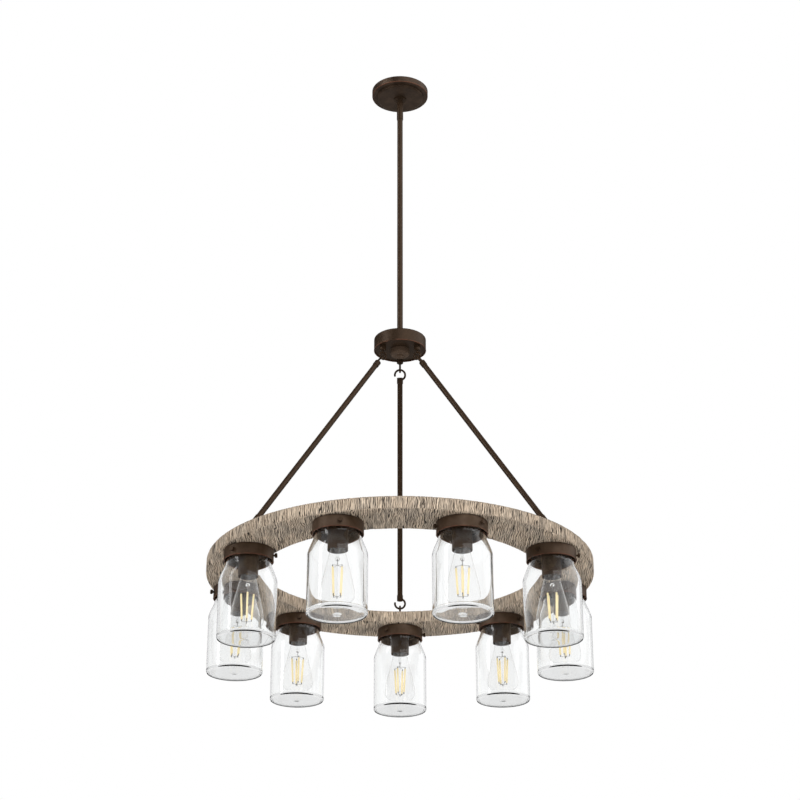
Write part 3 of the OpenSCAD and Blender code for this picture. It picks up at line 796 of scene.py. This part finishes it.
def dress(node, material):
    """Gives a CAD node a finish."""
    if not node.material_slots:
        node.data.materials.append(material)
    for holder in node.material_slots:
        holder.material = material


def rolled_edge(low, height):
    """The heights between which a rolled lower edge is worn."""
    return low - 0.0004, low + height


def finishes():
    """Every CAD node that stays visible gets its finish."""
    lid_edge = rolled_edge(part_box("jar_lids")[0].z, 0.0021)
    hub_edge = rolled_edge(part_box("hub_shell")[0].z, 0.0023)
    canopy_low, canopy_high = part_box("canopy")
    canopy_edge = rolled_edge(canopy_low.z + CANOPY_STEP, 0.0022)
    canopy_side = canopy_high.x - 0.0012
    plain = bronze("aged_bronze")
    # The hub's cap and finial get a lighter copy of the bronze, painted light against the hub's shade
    cap = bronze("aged_bronze_cap_painted_light", BRONZE_CAP_PAINTED_LIGHT, BRONZE_CAP_PAINTED_LIGHT)
    special = {
        "jar_lids": bronze("aged_bronze_lids", BRONZE, BRONZE_WARM, lid_edge),
        "hub_shell": bronze("aged_bronze_hub", worn=hub_edge),
        "canopy": bronze("aged_bronze_canopy", BRONZE_DEEP, BRONZE_MID, canopy_edge, canopy_side),
        "hub_cap": cap,
        "cap_finial": cap,
    }
    others = {
        "galvanised_steel": plated_steel("galvanised_steel"),
        "seat_polymer": nylon("seat_nylon"),
        "plated_brass": brass("plated_brass"),
        "porcelain": porcelain("porcelain"),
    }
    slots = {s["node"]: s["material_slot"] for s in frame["record"]["subparts"]}
    for name, node in frame["nodes"].items():
        dress(node, special.get(name) or others.get(slots[name]) or plain)


# Softboxes that only mirrors see: azimuths and heights, each with how soft its edges are, and strength
SOFTBOXES = [
    ((0.06, 1.30, 0.08), (0.20, 0.66, 0.08), 1.7),
    ((-1.25, -1.05, 0.04), (0.05, 0.80, 0.05), 5.0),
    ((1.45, 2.10, 0.15), (0.10, 0.75, 0.10), 1.3),
]


def mirrored_light(n, x, y, z):
    """How bright it is in mirrors: a dark room with softboxes, and lighter behind the object."""
    azimuth = n.math("ARCTAN2", x, n.math("MULTIPLY", y, -1.0))
    below = n.math("MULTIPLY", n.step(y, 0.1, 0.6), n.step(z, -0.10, -0.40))
    sheen = n.math("MULTIPLY_ADD", n.step(z, -0.35, 0.25), 0.04, 0.04)
    sheen = n.math("MULTIPLY_ADD", below, 0.30, sheen)
    for azimuths, heights, strength in SOFTBOXES:
        box = n.math("MULTIPLY", n.band(azimuth, *azimuths), n.band(z, *heights))
        sheen = n.math("MULTIPLY_ADD", box, strength, sheen)
    behind = n.math("MULTIPLY", n.step(y, 0.80, 0.95), n.step(z, 0.02, 0.15))
    return n.math("MULTIPLY_ADD", behind, 0.70, sheen)


def studio_world():
    """White for the camera, soft light, softboxes in mirrors, and a dimmer white through glass."""
    n = Nodes("studio", bpy.data.worlds, "OutputWorld")
    bpy.context.scene.world = n.owner
    x, y, z = n.split(n.add("TexCoord").outputs["Generated"])
    white = (1.0, 1.0, 1.0)
    lit = n.background(white, n.math("MULTIPLY_ADD", n.step(z, -0.5, 0.5), 0.12, 0.76))
    mirrored = n.background(white, mirrored_light(n, x, y, z))
    dim = n.math("MULTIPLY_ADD", n.band(z, -0.10, 0.55, 0.25), 0.23, 0.78)
    front = n.math("MULTIPLY", n.step(y, -0.25, -0.60), n.step(z, 0.10, 0.25))
    darker_front = n.math("MULTIPLY_ADD", front, -0.60, 1.0)
    through = n.background(white, n.math("MULTIPLY", dim, darker_front))
    path = n.add("LightPath").outputs
    early = n.math("LESS_THAN", path["Ray Depth"], 3.0)
    shader = n.mix(n.math("MULTIPLY", path["Is Glossy Ray"], early), lit, mirrored)
    shader = n.mix(path["Is Transmission Ray"], shader, through)
    shader = n.mix(path["Is Camera Ray"], shader, n.background(white, 1.0))
    n.finish(shader)


# The lights: name, place, aim, size and power in watts
LIGHTS = [
    ("key", (0.1, -3.1, 0.6), (0, 0, -0.9), (1.6, 1.6), 24),
    ("fill", (0.5, -3.0, -0.4), (0, 0, -1.0), (1.2, 2.0), 12),
    ("rim", (0.8, 2.6, 0.2), (0, 0, -1.0), (2.0, 1.2), 12),
]


def area_light(name, place, aim, size, power):
    data = bpy.data.lights.new(name, "AREA")
    data.shape = "RECTANGLE"
    data.size, data.size_y = size
    data.energy = power
    light = bpy.data.objects.new(name, data)
    light.location = place
    light.rotation_euler = (Vector(aim) - Vector(place)).to_track_quat("-Z", "Y").to_euler()
    light.visible_glossy = False
    light.visible_transmission = False
    bpy.context.scene.collection.objects.link(light)


# How far the floor lies under the object, and how far it reaches each way
FLOOR_DROP = 1.35
FLOOR_HALF = 60.0


def floor():
    """A plain pale floor well under the object, which mirrors and glass don't see."""
    n = Nodes("pale_floor")
    pale = n.principled(
        Base_Color=(0.90, 0.90, 0.90),
        Roughness=1.0,
        Emission_Color=(1.0, 1.0, 1.0),
        Emission_Strength=0.16,
    )
    z = cad_box[0][2] - FLOOR_DROP
    corners = [(FLOOR_HALF * x, FLOOR_HALF * y, z) for x, y in ((-1, -1), (1, -1), (1, 1), (-1, 1))]
    mesh = bpy.data.meshes.new("floor")
    mesh.from_pydata(corners, [], [(0, 1, 2, 3)])
    mesh.materials.append(n.finish(pale))
    ground = bpy.data.objects.new("floor", mesh)
    ground.visible_glossy = False
    ground.visible_transmission = False
    ground.visible_diffuse = False
    ground.visible_shadow = False
    bpy.context.scene.collection.objects.link(ground)


# The photo's camera: its place, how many degrees it looks up, and its lens and sensor in millimetres
EYE = (0, -3.5682, -2.3807)
LOOK_UP = 24.53
LENS = 85.80
SENSOR = 36


def camera():
    """The photo's view: from below the ring, in front, looking up."""
    data = bpy.data.cameras.new("photo_camera")
    data.sensor_fit = "HORIZONTAL"
    data.sensor_width = SENSOR
    data.lens = LENS
    eye = bpy.data.objects.new("photo_camera", data)
    eye.location = EYE
    eye.rotation_euler = (math.radians(90 + LOOK_UP), 0, 0)
    bpy.context.scene.collection.objects.link(eye)
    bpy.context.scene.camera = eye


camera()
floor()
finishes()
wooden_ring(barn_wood("barn_wood"))
glass_jars(clear_glass("clear_jar_glass", (0.985, 0.99, 0.99)))
bulbs(
    thin_glass("bulb_glass"),
    clear_glass("bead_glass", (0.97, 0.97, 0.97)),
    brass("lamp_brass"),
    phosphor_with_painted_glow("filament_phosphor"),
    dark_wire("lead_wire"),
)
studio_world()
for light in LIGHTS:
    area_light(*light)
bpy.context.scene.view_settings.view_transform = "Standard"
